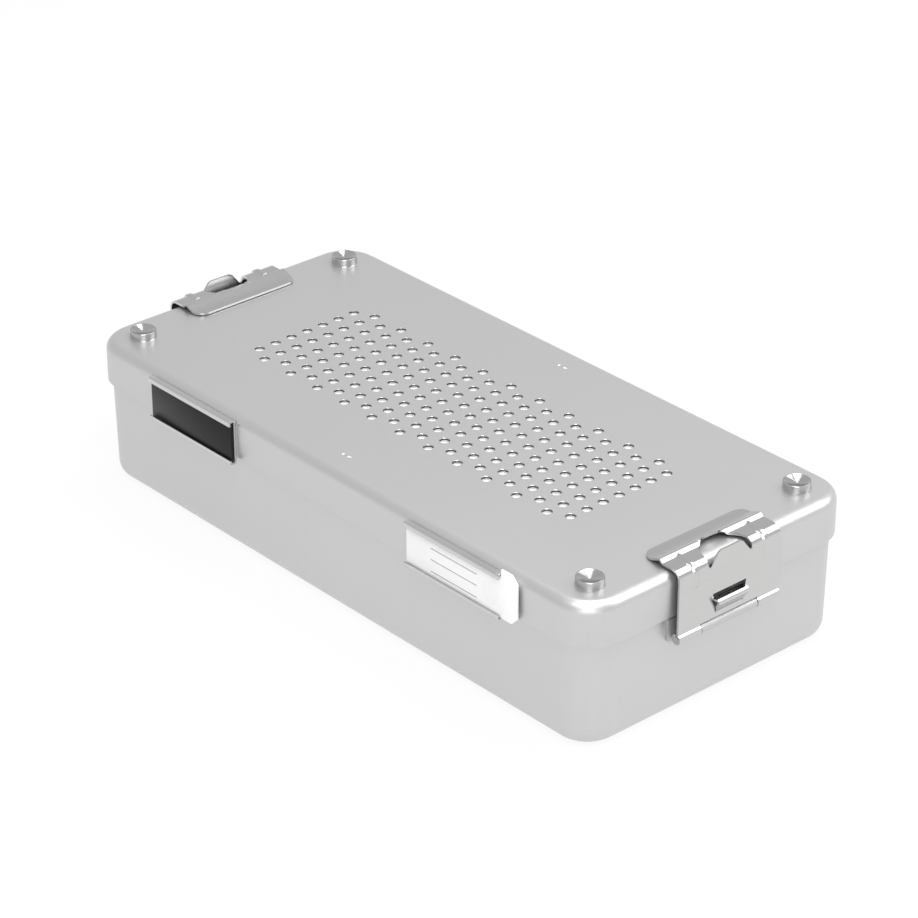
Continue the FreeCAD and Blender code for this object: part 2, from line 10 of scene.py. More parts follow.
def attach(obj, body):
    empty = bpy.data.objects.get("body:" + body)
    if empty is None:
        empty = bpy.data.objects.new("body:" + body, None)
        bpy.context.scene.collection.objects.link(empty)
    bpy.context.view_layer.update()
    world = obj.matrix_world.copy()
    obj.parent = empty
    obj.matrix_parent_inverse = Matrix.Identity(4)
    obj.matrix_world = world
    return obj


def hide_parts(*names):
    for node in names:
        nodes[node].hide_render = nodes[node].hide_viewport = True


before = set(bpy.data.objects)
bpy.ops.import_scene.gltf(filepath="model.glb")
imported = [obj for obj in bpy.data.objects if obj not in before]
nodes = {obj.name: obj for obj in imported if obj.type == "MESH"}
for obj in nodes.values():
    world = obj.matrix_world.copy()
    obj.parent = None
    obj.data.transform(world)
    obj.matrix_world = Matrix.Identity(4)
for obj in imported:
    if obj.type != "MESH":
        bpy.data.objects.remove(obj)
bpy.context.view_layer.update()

# Camera fitted to the photograph: metres and degrees
CAMERA_LENS = 134.2
CAMERA_AZIMUTH = 48.672
CAMERA_ELEVATION = 28.513
CAMERA_ROLL = -0.15
CAMERA_DISTANCE = 1.38822
CAMERA_RIGHT = 0.00094
CAMERA_UP = 0.03542
SENSOR_WIDTH = 36
CLIP_START = 0.05
CLIP_END = 20

# Lamps: name, place and size in metres, and power in watts. All of them aim at AIM.
LAMPS = (
    ("overhead", (0.42, -0.42, 1.25), (0.75, 0.75), 9),
    ("high", (-0.15, 0.4, 1.4), (0.5, 0.5), 4.5),
    ("rear", (0.64, 0.93, 1.12), (1.0, 1.0), 10),
    ("front", (1.0, -0.9, 0.5), (0.8, 0.8), 4),
)
AIM = (0, 0, 0.03)
ROOM_STRENGTH = 0.5
FLOOR_HALF = 3.0
FLOOR_GREY = 0.9
FLOOR_GLOW = 0.9

# Shapes in millimetres, in the frame's axes
MM = 0.001
CORNER_STEPS = 24
ARC_STEP = math.radians(9)
QUARTER = math.pi / 2
SHARP_DEGREES = 35
LEVEL_MARGIN = 0.4
RIM_EASE = 0.3

LID_X = 150.0
LID_Y = 70.0
LID_CORNER = 16.6
LID_TOP = 63.0
LID_RIM = 45.0
LID_WALL = 1.5
LID_EDGE = 4.5
LID_CEILING = LID_TOP - LID_WALL

HOLE_RADIUS = 2.0
HOLE_STEPS = 24
HOLE_EASE = 0.16
HOLE_ROUND = 0.34
HOLE_PITCH_X = 8.5
HOLE_PITCH_Y = 8.4
HOLE_COLUMNS = 23
HOLES_IN_LONG_COLUMN = 8
HOLE_FIELD_X = 100.0
HOLE_FIELD_Y = 40.0
HOLE_SHADE_LOW = LID_CEILING + 0.45
HOLE_SHADE_HIGH = LID_CEILING + 0.75

TUB_X = 148.2
TUB_Y = 68.2
TUB_CORNER = 14.8
TUB_TOP = 58.4
TUB_WALL = 1.5
TUB_DRAFT = 0.8
TUB_EDGE = 6.7
POCKET_RADIUS = 6.15
POCKET_DEPTH = 1.5
POCKET_EASE = 0.35
POCKET_BEVEL = 0.1

STUD_X = 134.5
STUD_Y = 54.0
STUD_STEPS = 72
STUD_RING_PITCH = 0.22
STUD_TURN_PITCH = 0.25

HOLDER_X = 79.4
HOLDER_HALF = 26.6
HOLDER_BACK = 0.4
HOLDER_FRONT = 2.7
HOLDER_TOP = 61.2
HOLDER_TOP_LIP_END = 59.3
HOLDER_BOTTOM = 42.6
HOLDER_BOTTOM_LIP_END = 44.0
HOLDER_SHEET = 0.8

LABEL_BACK = -71.1
LABEL_FACE = -72.0
LABEL_BOTTOM = 43.3
LABEL_TOP = 60.5
PLATE_FROM = -105.5
PLATE_TO = -53.3
CARD_FROM = 53.3
CARD_HEAD_FROM = 106.3
CARD_HEAD_TO = 115.1
CARD_HEAD_BOTTOM = 43.0
CARD_HEAD_TOP = 63.6
CARD_HEAD_CHAMFER = 3.0

CARD_LINES = (55.8, 51.0, 45.9)
CARD_LINE_FROM = 67.3
CARD_LINE_TO = 93.1
CARD_LINE_HALF = 0.17
CARD_SPOT_X = 100.4
CARD_SPOT_Z = 51.2
CARD_SPOT_INNER = 4.4
CARD_SPOT_OUTER = 5.2

POST_Y = 57
WELD_STEPS = 8

SHEET = 0.9
PLATE_X = 152.35
PLATE_BOTTOM = 38.9
PLATE_MIDDLE = 38.4
BEND_BOTTOM = 60.75
BEND_RADIUS = 3.6
FLANGE_Z = 64.35
FLANGE_END = 143.4
BEAD_X = 142.0
BEAD_Z = 65.75
LIP_START = 137.3
LIP_DIP = 135.0
LIP_CREST = 134.2
LIP_END = 132.3
LIP_Z = 63.8
LIP_CORNER = 5.0
LATCH_HALF = 26.3
CUTOUT_X = 151.9
CUTOUT_RADIUS = 11.3
TONGUE_HALF_FOOT = 10.3
TONGUE_HALF_TOP = 5.8
TONGUE_TOP = 66.3
TONGUE_ROUND = 1.6
TONGUE_NARROWING = 1.3
RIB_Y = 18.1
RIB_HEIGHT = 0.8
RIB_REACH = 1.55
RIB_STEEPNESS = 1.9
RIB_BOTTOM = -3.9
RIB_TOP = 10.6
LOOP_ROOT = 40.3
LOOP_OUT = 155.55
LOOP_BACK = 152.8
LOOP_LEVEL = 46.25
LOOP_WIDENING = 0.74
WINDOW_TOP = 48.9
WINDOW_HALF_ROOT = 7.3
WINDOW_HALF_TOP = 8.7
LOOP_KERF = 0.2
LOOP_HALF_ROOT = WINDOW_HALF_ROOT - LOOP_KERF
HINGE_X = 151.6
HINGE_Z = 35.8
ROLL_RADIUS = 1.7
ROLL_OUT = HINGE_X + ROLL_RADIUS
ROLL_IN = HINGE_X - ROLL_RADIUS
ROLL_LOW = HINGE_Z - ROLL_RADIUS
ROLL_HIGH = HINGE_Z + ROLL_RADIUS
JOGGLE_TOP = 37.45
JOGGLE_BOTTOM = 36.9
KNUCKLE_INNER = 14.9
MIDDLE_INNER = KNUCKLE_INNER - 0.2
BRACKET_X = 148.45
BRACKET_HALF = 27.7
BRACKET_TOP = 43.6
BRACKET_BOTTOM = 33.6
BRACKET_KNUCKLE = 14.6
BRACKET_NOTCH = BRACKET_KNUCKLE + 0.3
BRACKET_CORNER = 1.6
RIVET_Y = 20.6
RIVET_Z = 40.2
RIVET_STEPS = 24


def place_camera():
    azimuth = math.radians(CAMERA_AZIMUTH)
    elevation = math.radians(CAMERA_ELEVATION)
    roll = math.radians(CAMERA_ROLL)
    level = Vector((math.cos(azimuth), math.sin(azimuth), 0))
    back = Vector((
        math.sin(azimuth) * math.cos(elevation),
        -math.cos(azimuth) * math.cos(elevation),
        math.sin(elevation),
    ))
    upright = back.cross(level)
    right = level * math.cos(roll) + upright * math.sin(roll)
    up = upright * math.cos(roll) - level * math.sin(roll)
    camera = bpy.data.objects.new("camera", bpy.data.cameras.new("camera"))
    camera.data.lens = CAMERA_LENS
    camera.data.sensor_width = SENSOR_WIDTH
    camera.data.clip_start = CLIP_START
    camera.data.clip_end = CLIP_END
    place = right * CAMERA_RIGHT + up * CAMERA_UP + back * CAMERA_DISTANCE
    turn = Matrix((right, up, back)).transposed().to_4x4()
    camera.matrix_world = Matrix.Translation(place) @ turn
    bpy.context.scene.collection.objects.link(camera)
    bpy.context.scene.camera = camera


# Materials


class Nodes:
    """Short way to write a node tree."""

    def __init__(self, tree):
        self.tree = tree
        tree.nodes.clear()

    def add(self, kind, **settings):
        node = self.tree.nodes.new(kind)
        for name, value in settings.items():
            setattr(node, name, value)
        return node

    def link(self, a, b):
        self.tree.links.new(a, b)

    def value(self, target, source):
        """Puts a number, a colour or another node's output on an input."""
        if isinstance(source, bpy.types.NodeSocket):
            self.link(source, target)
        else:
            target.default_value = source

    def math(self, operation, a, b=0.5, c=0.5):
        node = self.add("ShaderNodeMath", operation=operation)
        for target, source in zip(node.inputs, (a, b, c)):
            self.value(target, source)
        return node.outputs[0]

    def place(self):
        return self.add("ShaderNodeTexCoord").outputs["Object"]

    def axes(self):
        node = self.add("ShaderNodeSeparateXYZ")
        self.link(self.place(), node.inputs[0])
        return node.outputs

    def noise(self, scale, stretch=(1, 1, 1), detail=2, roughness=0.5):
        mapping = self.add("ShaderNodeMapping")
        mapping.inputs["Scale"].default_value = stretch
        self.link(self.place(), mapping.inputs["Vector"])
        noise = self.add("ShaderNodeTexNoise")
        noise.inputs["Scale"].default_value = scale
        noise.inputs["Detail"].default_value = detail
        noise.inputs["Roughness"].default_value = roughness
        self.link(mapping.outputs[0], noise.inputs["Vector"])
        return noise.outputs["Fac"]

    def ramp(self, fac, low, high, start=0.0, end=1.0):
        """Straight change from a low value to a high one as fac goes from start to end."""
        node = self.add("ShaderNodeMapRange")
        self.value(node.inputs["Value"], fac)
        node.inputs["From Min"].default_value = start
        node.inputs["From Max"].default_value = end
        self.value(node.inputs["To Min"], low)
        self.value(node.inputs["To Max"], high)
        return node.outputs[0]

    def grey(self, value, warmth=0.0):
        node = self.add("ShaderNodeCombineColor")
        self.value(node.inputs[0], self.math("ADD", value, warmth))
        self.value(node.inputs[1], value)
        self.value(node.inputs[2], self.math("SUBTRACT", value, warmth))
        return node.outputs[0]

    def within(self, value, low, high):
        """1 where the value lies between two numbers, else 0."""
        above = self.math("GREATER_THAN", value, low)
        return self.math("MULTIPLY", above, self.math("LESS_THAN", value, high))

    def distance(self, a, b):
        """Length of the diagonal of two sides at right angles."""
        squares = self.math("ADD", self.math("MULTIPLY", a, a), self.math("MULTIPLY", b, b))
        return self.math("SQRT", squares)

    def seen_rays(self):
        """1 for the rays that show a background: from the camera, in gloss and through glass."""
        path = self.add("ShaderNodeLightPath").outputs
        rays = self.math("MAXIMUM", path["Is Camera Ray"], path["Is Transmission Ray"])
        return self.math("MAXIMUM", rays, path["Is Glossy Ray"])


def material(name):
    new = bpy.data.materials.new(name)
    new.use_nodes = True
    tree = Nodes(new.node_tree)
    shader = tree.add("ShaderNodeBsdfPrincipled")
    output = tree.add("ShaderNodeOutputMaterial")
    tree.link(shader.outputs[0], output.inputs["Surface"])
    return new, tree, shader


def bump(tree, shader, height, distance):
    node = tree.add("ShaderNodeBump")
    node.inputs["Strength"].default_value = 1.0
    node.inputs["Distance"].default_value = distance
    tree.link(height, node.inputs["Height"])
    tree.link(node.outputs[0], shader.inputs["Normal"])


def metal(name, low, high, metallic, rough_low, rough_high, scale, stretch, relief, warmth=0.0):
    """Metal with a fine grain drawn out along one direction, and a soft cloudiness."""
    new, tree, shader = material(name)
    grain = tree.noise(scale, stretch, 3, 0.6)
    cloud = tree.noise(22, (1, 1, 1), 2, 0.5)
    mixed = tree.math("ADD", tree.math("MULTIPLY", grain, 0.7), tree.math("MULTIPLY", cloud, 0.3))
    tree.link(tree.grey(tree.ramp(mixed, low, high), warmth), shader.inputs["Base Color"])
    tree.link(tree.ramp(grain, rough_low, rough_high), shader.inputs["Roughness"])
    shader.inputs["Metallic"].default_value = metallic
    bump(tree, shader, grain, relief)
    return new


def turned_metal():
    """Steel turned on a lathe: fine rings round each stud's own axis."""
    new, tree, shader = material("turned_steel")
    x, y, z = tree.axes()
    across_x = tree.math("SUBTRACT", tree.math("ABSOLUTE", x), STUD_X * MM)
    across_y = tree.math("SUBTRACT", tree.math("ABSOLUTE", y), STUD_Y * MM)
    reach = tree.distance(across_x, across_y)
    rings = tree.math("SINE", tree.math("MULTIPLY", reach, 2 * math.pi / (STUD_RING_PITCH * MM)))
    turns = tree.math("SINE", tree.math("MULTIPLY", z, 2 * math.pi / (STUD_TURN_PITCH * MM)))
    grooves = tree.math("ADD", rings, turns)
    mottle = tree.noise(500, (1, 1, 1), 2, 0.6)
    tree.link(tree.grey(tree.ramp(mottle, 0.46, 0.54), 0.002), shader.inputs["Base Color"])
    shader.inputs["Metallic"].default_value = 1.0
    shader.inputs["Roughness"].default_value = 0.14
    bump(tree, shader, grooves, 0.000005)
    return new


def hole_wall_painted_shade():
    """Walls of the punched holes, with painted shade: light metal low on the wall, and a dark colour
    painted near the top, where the hole's shade falls.
    """
    new, tree, shader = material("hole_wall_painted_shade_metal")
    height = tree.axes()[2]
    grain = tree.noise(900, (1, 1, 0.1), 3, 0.6)
    # Painted shade: the base colour runs from light metal to nearly black towards the top of each hole's
    # wall.
    shade = tree.ramp(height, 0.72, 0.07, HOLE_SHADE_LOW * MM, HOLE_SHADE_HIGH * MM)
    tree.link(tree.grey(tree.math("MULTIPLY", shade, tree.ramp(grain, 0.9, 1.1))),
              shader.inputs["Base Color"])
    shader.inputs["Metallic"].default_value = 0.9
    shader.inputs["Roughness"].default_value = 0.45
    bump(tree, shader, grain, 0.000003)
    return new


def plain(name, colour, roughness, scale, relief, spread=0.02, gloss=0.5):
    """Plastic, rubber or paper with a faint mottle."""
    new, tree, shader = material(name)
    mottle = tree.noise(scale, (1, 1, 1), 4, 0.6)
    tree.link(tree.grey(tree.ramp(mottle, colour - spread, colour + spread)), shader.inputs["Base Color"])
    shader.inputs["Roughness"].default_value = roughness
    shader.inputs["Specular IOR Level"].default_value = gloss
    bump(tree, shader, mottle, relief)
    return new


def ruled_card():
    """White card with three ruled lines and a faint round spot."""
    new, tree, shader = material("ruled_card")
    x, y, z = tree.axes()
    on_lines = tree.within(x, CARD_LINE_FROM * MM, CARD_LINE_TO * MM)
    ink = 0.0
    for height in CARD_LINES:
        line = tree.within(z, (height - CARD_LINE_HALF) * MM, (height + CARD_LINE_HALF) * MM)
        ink = tree.math("MAXIMUM", ink, tree.math("MULTIPLY", line, on_lines))
    ink = tree.math("MULTIPLY", ink, tree.math("LESS_THAN", y, (LABEL_FACE + 0.05) * MM))
    side = tree.math("SUBTRACT", x, CARD_SPOT_X * MM)
    rise = tree.math("SUBTRACT", z, CARD_SPOT_Z * MM)
    reach = tree.distance(side, rise)
    spot = tree.ramp(reach, 0.97, 1.0, CARD_SPOT_INNER * MM, CARD_SPOT_OUTER * MM)
    mottle = tree.noise(400, (1, 1, 1), 4, 0.6)
    paper = tree.math("MULTIPLY", tree.ramp(mottle, 0.88, 0.92), spot)
    colour = tree.math("MULTIPLY", paper, tree.ramp(ink, 1.0, 0.22))
    tree.link(tree.grey(colour), shader.inputs["Base Color"])
    shader.inputs["Roughness"].default_value = 0.55
    bump(tree, shader, mottle, 0.000004)
    return new


def make_materials():
    return {
        "anodised": metal("anodised", 0.57, 0.61, 0.8, 0.34, 0.42, 1100, (1, 1, 0.03), 0.0000035),
        "painted_hole_shade": hole_wall_painted_shade(),
        "channel": metal("channel_aluminium", 0.56, 0.64, 0.95, 0.14, 0.2, 700, (0.05, 1, 1), 0.000002),
        "steel": metal("polished_steel", 0.56, 0.61, 1.0, 0.12, 0.18, 800, (1, 0.05, 1), 0.0000008, 0.002),
        "satin": metal("satin_steel", 0.52, 0.58, 1.0, 0.34, 0.44, 700, (1, 1, 0.1), 0.000003, 0.002),
        "turned": turned_metal(),
        "silicone": plain("silicone", 0.30, 0.6, 300, 0.00001),
        "brushed": metal("brushed_steel", 0.56, 0.62, 0.95, 0.56, 0.64, 700, (1, 0.05, 1), 0.000003),
        "black": plain("black_plate", 0.010, 0.3, 500, 0.000003, 0.003, 0.2),
        "card": ruled_card(),
        "paper": plain("filter_paper", 0.93, 0.9, 260, 0.00002, 0.01),
    }


def assign(node, new):
    """Gives a solid that is shown as it is its material."""
    mesh = nodes[node].data
    if not mesh.materials:
        mesh.materials.append(new)
    for index in range(len(mesh.materials)):
        nodes[node].material_slots[index].link = "OBJECT"
        nodes[node].material_slots[index].material = new


# Pieces built from points in millimetres


class Shape:
    """Points and faces of one closed surface. Rings run anticlockwise, seen from above."""

    def __init__(self):
        self.points = []
        self.faces = []

    def ring(self, points):
        start = len(self.points)
        self.points += points
        return list(range(start, len(self.points)))

    def bridge(self, first, second):
        for index in range(len(first)):
            after = (index + 1) % len(first)
            self.faces.append((first[index], first[after], second[after], second[index]))

    def path(self, rings):
        for first, second in zip(rings, rings[1:]):
            self.bridge(first, second)

    def cap(self, ring, facing_up):
        self.faces.append(tuple(ring) if facing_up else tuple(reversed(ring)))

    def sheet(self, outer, holes, facing_up):
        """Level face inside a convex ring, with round holes left open."""
        indices = list(outer)
        owner = [-1] * len(outer)
        loops = [(0, len(outer))]
        for number, hole in enumerate(holes):
            loops.append((len(indices), len(hole)))
            indices += hole
            owner += [number] * len(hole)
        flat = [Vector(self.points[index][:2]) for index in indices]
        edges = []
        for start, count in loops:
            edges += [(start + step, start + (step + 1) % count) for step in range(count)]
        made = delaunay_2d_cdt(flat, edges, [], 1, 1e-6)
        original = [sources[0] for sources in made[3]]
        for face in made[2]:
            corners = [original[corner] for corner in face]
            owners = {owner[corner] for corner in corners}
            if len(owners) == 1 and -1 not in owners:
                continue
            a, b, c = (flat[corner] for corner in corners[:3])
            turns_left = (b - a).cross(c - a) > 0
            if turns_left != facing_up:
                corners.reverse()
            self.faces.append(tuple(indices[corner] for corner in corners))


def rounded_ring(half_x, half_y, corner, z):
    points = []
    for turn, (sign_x, sign_y) in enumerate(((1, 1), (-1, 1), (-1, -1), (1, -1))):
        for step in range(CORNER_STEPS + 1):
            angle = (turn + step / CORNER_STEPS) * QUARTER
            x = sign_x * (half_x - corner) + corner * math.cos(angle)
            y = sign_y * (half_y - corner) + corner * math.sin(angle)
            points.append((x, y, z))
    return points


def round_ring(x, y, radius, z, steps):
    points = []
    for step in range(steps):
        angle = step * 2 * math.pi / steps
        points.append((x + radius * math.cos(angle), y + radius * math.sin(angle), z))
    return points


def quarter_turn(count):
    """Sines and cosines from a wall to a level face."""
    return [(math.sin(i * QUARTER / count), math.cos(i * QUARTER / count)) for i in range(count + 1)]


def add_piece(name, points, faces, body, look, replaced=(), sharp=SHARP_DEGREES):
    mesh = bpy.data.meshes.new(name)
    mesh.from_pydata([Vector(point) * MM for point in points], [], faces)
    mesh.validate()
    mesh.shade_smooth()
    mesh.set_sharp_from_angle(angle=math.radians(sharp))
    mesh.materials.append(look)
    piece = bpy.data.objects.new(name, mesh)
    bpy.context.scene.collection.objects.link(piece)
    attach(piece, body)
    if replaced:
        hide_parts(*replaced)
    return piece


def ease_edges(piece, width, segments=2, angle=50):
    """Rounds the piece's sharp edges a little."""
    mesh = piece.data
    work = bmesh.new()
    work.from_mesh(mesh)
    limit = math.radians(angle)
    edges = [e for e in work.edges if len(e.link_faces) == 2 and e.calc_face_angle() > limit]
    bmesh.ops.bevel(work, geom=edges, offset=width * MM, offset_type="OFFSET", segments=segments,
                    profile=0.5, affect="EDGES", clamp_overlap=True)
    work.to_mesh(mesh)
    work.free()
    mesh.shade_smooth()
    mesh.set_sharp_from_angle(angle=math.radians(SHARP_DEGREES))


def hole_places():
    for column in range(HOLE_COLUMNS):
        count = HOLES_IN_LONG_COLUMN - (column + 1) % 2
        x = (column - (HOLE_COLUMNS - 1) / 2) * HOLE_PITCH_X
        for row in range(count):
            yield x, (row - (count - 1) / 2) * HOLE_PITCH_Y


def stud_places():
    return [(x, y) for x in (-STUD_X, STUD_X) for y in (-STUD_Y, STUD_Y)]


def make_lid(look, painted_hole_shade, rim):
    shape = Shape()

    def level(inset, z):
        return shape.ring(rounded_ring(LID_X - inset, LID_Y - inset, LID_CORNER - inset, z))

    inner_edge = LID_EDGE - LID_WALL
    rings = [level(LID_EDGE + LEVEL_MARGIN, LID_CEILING)]
    for sine, cosine in quarter_turn(8):
        inset = LID_EDGE - inner_edge * sine
        rings.append(level(inset, LID_CEILING - inner_edge * (1 - cosine)))
    for inset, rise in ((LID_WALL, 0.25), (LID_WALL - 0.25, 0), (RIM_EASE, 0), (0.08, 0.09), (0, RIM_EASE)):
        rings.append(level(inset, LID_RIM + rise))
    for sine, cosine in quarter_turn(12):
        rings.append(level(LID_EDGE * (1 - cosine), LID_TOP - LID_EDGE * (1 - sine)))
    rings.append(level(LID_EDGE + LEVEL_MARGIN, LID_TOP))
    shape.path(rings)

    above = []
    below = []
    for x, y in hole_places():
        wall = []
        for radius, z in (
            (HOLE_RADIUS + HOLE_ROUND + 0.08, LID_TOP),
            (HOLE_RADIUS + HOLE_ROUND, LID_TOP - 0.004),
            (HOLE_RADIUS + HOLE_ROUND * 0.29, LID_TOP - HOLE_ROUND * 0.29),
            (HOLE_RADIUS, LID_TOP - HOLE_ROUND),
            (HOLE_RADIUS, LID_CEILING + HOLE_EASE),
            (HOLE_RADIUS + HOLE_EASE, LID_CEILING),
        ):
            wall.append(shape.ring(round_ring(x, y, radius, z, HOLE_STEPS)))
        shape.path(wall)
        above.append(wall[0])
        below.append(wall[-1])
    shape.sheet(rings[-1], above, True)
    shape.sheet(rings[0], below, False)
    lid = add_piece("lid", shape.points, shape.faces, "lid", look, ["lid_shell"])
    lid.data.materials.append(painted_hole_shade)
    lid.data.materials.append(rim)
    for face in lid.data.polygons:
        x, y, z = face.center / MM
        near_holes = abs(x) < HOLE_FIELD_X and abs(y) < HOLE_FIELD_Y
        if near_holes and LID_CEILING < z < LID_TOP - HOLE_ROUND:
            face.material_index = 1
        elif near_holes and LID_TOP - HOLE_ROUND < z < LID_TOP - 0.01:
            face.material_index = 2


def make_tub(look):
    shape = Shape()

    def level(inset, z):
        lean = TUB_DRAFT * (1 - z / TUB_TOP)
        x = TUB_X - lean - inset
        y = TUB_Y - lean - inset
        return shape.ring(rounded_ring(x, y, TUB_CORNER - inset, z))

    inner_edge = TUB_EDGE - TUB_WALL
    rings = [level(TUB_EDGE + LEVEL_MARGIN, 0)]
    for sine, cosine in quarter_turn(14):
        rings.append(level(TUB_EDGE * (1 - sine), TUB_EDGE * (1 - cosine)))
    for inset, drop in ((0, RIM_EASE), (RIM_EASE, 0), (TUB_WALL - RIM_EASE, 0), (TUB_WALL, RIM_EASE)):
        rings.append(level(inset, TUB_TOP - drop))
    for sine, cosine in quarter_turn(10):
        inset = TUB_WALL + inner_edge * (1 - cosine)
        rings.append(level(inset, TUB_WALL + inner_edge * (1 - sine)))
    rings.append(level(TUB_EDGE + LEVEL_MARGIN, TUB_WALL))
    shape.path(rings)
    shape.cap(rings[0], False)
    shape.cap(rings[-1], True)
    tub = add_piece("tub", shape.points, shape.faces, "base", look, ["base_tub"])

    roof = POCKET_DEPTH + TUB_WALL
    outer = POCKET_RADIUS + TUB_WALL
    combine(tub, round_blocks(eased_post(outer, TUB_WALL / 2, roof)), "UNION")
    combine(tub, round_blocks(eased_post(POCKET_RADIUS, -1, POCKET_DEPTH)), "DIFFERENCE")


def eased_post(radius, bottom, top):
    """Outline of a round post with an eased top edge: radius and height."""
    return (
        (radius, bottom), (radius, top - POCKET_EASE),
        (radius - POCKET_BEVEL, top - POCKET_BEVEL), (radius - POCKET_EASE, top),
    )


def round_blocks(profile):
    """One turned block at each stud's place."""
    shape = Shape()
    for x, y in stud_places():
        rings = [shape.ring(round_ring(x, y, radius, z, STUD_STEPS)) for radius, z in profile]
        shape.path(rings)
        shape.cap(rings[0], False)
        shape.cap(rings[-1], True)
    return shape


def combine(piece, shape, operation):
    """Adds a closed shape to a piece, or cuts it away."""
    mesh = bpy.data.meshes.new("tool")
    mesh.from_pydata([Vector(point) * MM for point in shape.points], [], shape.faces)
    tool = bpy.data.objects.new("tool", mesh)
    bpy.context.scene.collection.objects.link(tool)
    modifier = piece.modifiers.new("combine", "BOOLEAN")
    modifier.object = tool
    modifier.operation = operation
    modifier.solver = "EXACT"
    bpy.context.view_layer.update()
    whole = piece.evaluated_get(bpy.context.evaluated_depsgraph_get())
    made = bpy.data.meshes.new_from_object(whole)
    piece.modifiers.clear()
    piece.data = made
    bpy.data.objects.remove(tool)
    made.shade_smooth()
    made.set_sharp_from_angle(angle=math.radians(SHARP_DEGREES))


def make_studs(look):
    profile = (
        (5.65, 0.0), (5.65, 0.1), (5.5, 0.3), (5.5, 3.05), (5.44, 3.26), (5.3, 3.38), (5.16, 3.4),
        (5.02, 3.36), (4.88, 3.26), (1.0, 2.02), (0.6, 1.93), (0.25, 1.9),
    )
    shape = round_blocks([(radius, LID_TOP + z) for radius, z in profile])
    add_piece("studs", shape.points, shape.faces, "lid", look, ["stacking_studs"])


# Bent sheet metal


def rounded_path(corners, radii, side):
    """Samples (length, place, normal) along straight runs joined by tangent arcs."""
    places = [Vector(corner) for corner in corners]
    samples = []

    def keep(place, direction):
        length = 0.0
        if samples:
            length = samples[-1][0] + (place - samples[-1][1]).length
            if length - samples[-1][0] < 1e-6:
                return
        samples.append((length, place, Vector((direction.y, -direction.x)) * side))

    keep(places[0], (places[1] - places[0]).normalized())
    for before, here, after, radius in zip(places, places[1:], places[2:], radii):
        start = (here - before).normalized()
        end = (after - here).normalized()
        turn = math.atan2(start.cross(end), start.dot(end))
        inward = Vector((-start.y, start.x)) * (1 if turn > 0 else -1)
        place = here - start * (radius * math.tan(abs(turn) / 2))
        count = max(1, math.ceil(abs(turn) / ARC_STEP))
        for step in range(count + 1):
            angle = abs(turn) * step / count
            direction = start * math.cos(angle) + inward * math.sin(angle)
            reach = start * math.sin(angle) + inward * (1 - math.cos(angle))
            keep(place + reach * radius, direction)
    keep(places[-1], (places[-1] - places[-2]).normalized())
    return samples


def lines_along(samples, longest):
    """Lengths to place rows at: each sample, and steps on the long straight runs."""
    stops = []
    for (first, _, _), (second, _, _) in zip(samples, samples[1:]):
        count = max(1, math.ceil((second - first) / longest))
        stops += [first + (second - first) * step / count for step in range(count)]
    return stops + [samples[-1][0]]


def on_path(samples):
    """Function that gives place and normal at a length along the path, in x and z."""
    lengths = [sample[0] for sample in samples]

    def at(length):
        index = min(max(bisect.bisect_right(lengths, length) - 1, 0), len(samples) - 2)
        first, second = samples[index], samples[index + 1]
        share = (length - first[0]) / (second[0] - first[0])
        place = first[1].lerp(second[1], share)
        normal = first[2].lerp(second[2], share).normalized()
        return place, normal

    return at


def bent(samples):
    """Function that gives place and normal at a length along the path and a width across it."""
    at = on_path(samples)

    def mapping(along, y):
        place, normal = at(along)
        return Vector((place.x, y, place.y)), Vector((normal.x, 0, normal.y))

    return mapping


def is_inside(points, polygon):
    x, y = points[:, 0], points[:, 1]
    inside = np.zeros(len(points), bool)
    for (ax, ay), (bx, by) in zip(polygon, polygon[1:] + polygon[:1]):
        if ay == by:
            continue
        crosses = (ay > y) != (by > y)
        inside ^= crosses & (x < ax + (y - ay) * (bx - ax) / (by - ay))
    return inside


def distance_to(points, polygon):
    nearest = np.full(len(points), np.inf)
    for a, b in zip(polygon, polygon[1:] + polygon[:1]):
        a, b = np.array(a), np.array(b)
        run = b - a
        share = np.clip((points - a) @ run / max(run @ run, 1e-12), 0, 1)
        nearest = np.minimum(nearest, np.linalg.norm(points - a - share[:, None] * run, axis=1))
    return nearest


